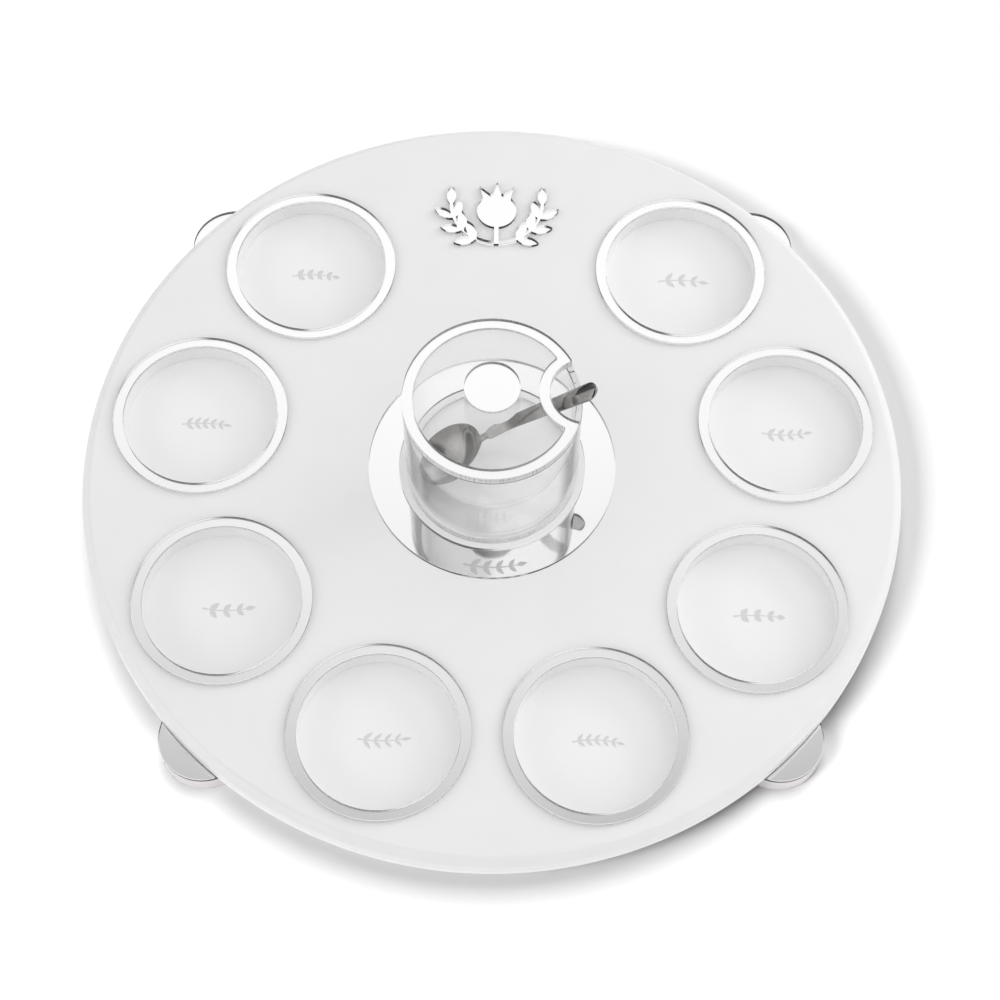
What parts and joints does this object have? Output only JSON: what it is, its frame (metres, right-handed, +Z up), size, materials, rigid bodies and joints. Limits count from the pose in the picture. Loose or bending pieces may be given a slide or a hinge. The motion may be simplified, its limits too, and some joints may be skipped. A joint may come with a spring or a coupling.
{
  "type": "rosh hashanah plate",
  "caption": "Round footed serving plate with ringed food wells around a lidded clear honey cup with a spoon, for the symbolic foods of a new-year meal.",
  "frame": {"origin": "on the table under the middle of the plate", "axes": "+Z up, +Y to the plate's back where the raised ornament is, +X to the right"},
  "size_m": [0.3999, 0.4, 0.1085],
  "materials": {
    "white_acrylic": "gloss",
    "clear_acrylic": "clear, polished",
    "mirror_acrylic": "mirror",
    "foot_acrylic": "gloss",
    "stainless_steel": "polished"
  },
  "bodies": {
    "plate": {"base_sheet": "white_acrylic", "well_sheet": "white_acrylic", "well_ring_1": "mirror_acrylic", "well_ring_2": "mirror_acrylic", "well_ring_3": "mirror_acrylic", "well_ring_4": "mirror_acrylic", "well_ring_5": "mirror_acrylic", "well_ring_6": "mirror_acrylic", "well_ring_7": "mirror_acrylic", "well_ring_8": "mirror_acrylic", "cup_seat_ring": "mirror_acrylic", "back_ornament": "mirror_acrylic", "foot_disc_1": "foot_acrylic", "foot_disc_2": "foot_acrylic", "foot_disc_3": "foot_acrylic", "foot_disc_4": "foot_acrylic", "foot_mirror_1": "mirror_acrylic", "foot_mirror_2": "mirror_acrylic", "foot_mirror_3": "mirror_acrylic", "foot_mirror_4": "mirror_acrylic"},
    "honey_cup": {"cup_tube": "clear_acrylic", "cup_floor": "clear_acrylic"},
    "lid": {"lid_panel": "clear_acrylic", "lid_border": "mirror_acrylic", "knob_post": "clear_acrylic", "knob_cap": "mirror_acrylic"},
    "spoon": {"honey_spoon": "stainless_steel"}
  },
  "joints": [
    {"name": "cup_lift", "type": "slide", "parent": "plate", "child": "honey_cup", "axis": [0, 0, 1], "range_m": [0, 0.08]},
    {"name": "lid_lift", "type": "slide", "parent": "honey_cup", "child": "lid", "axis": [0, 0, 1], "range_m": [0, 0.08]},
    {"name": "spoon_slide", "type": "slide", "parent": "honey_cup", "child": "spoon", "axis": [0.7296, 0.051, 0.682], "range_m": [0, 0.055]}
  ]
}
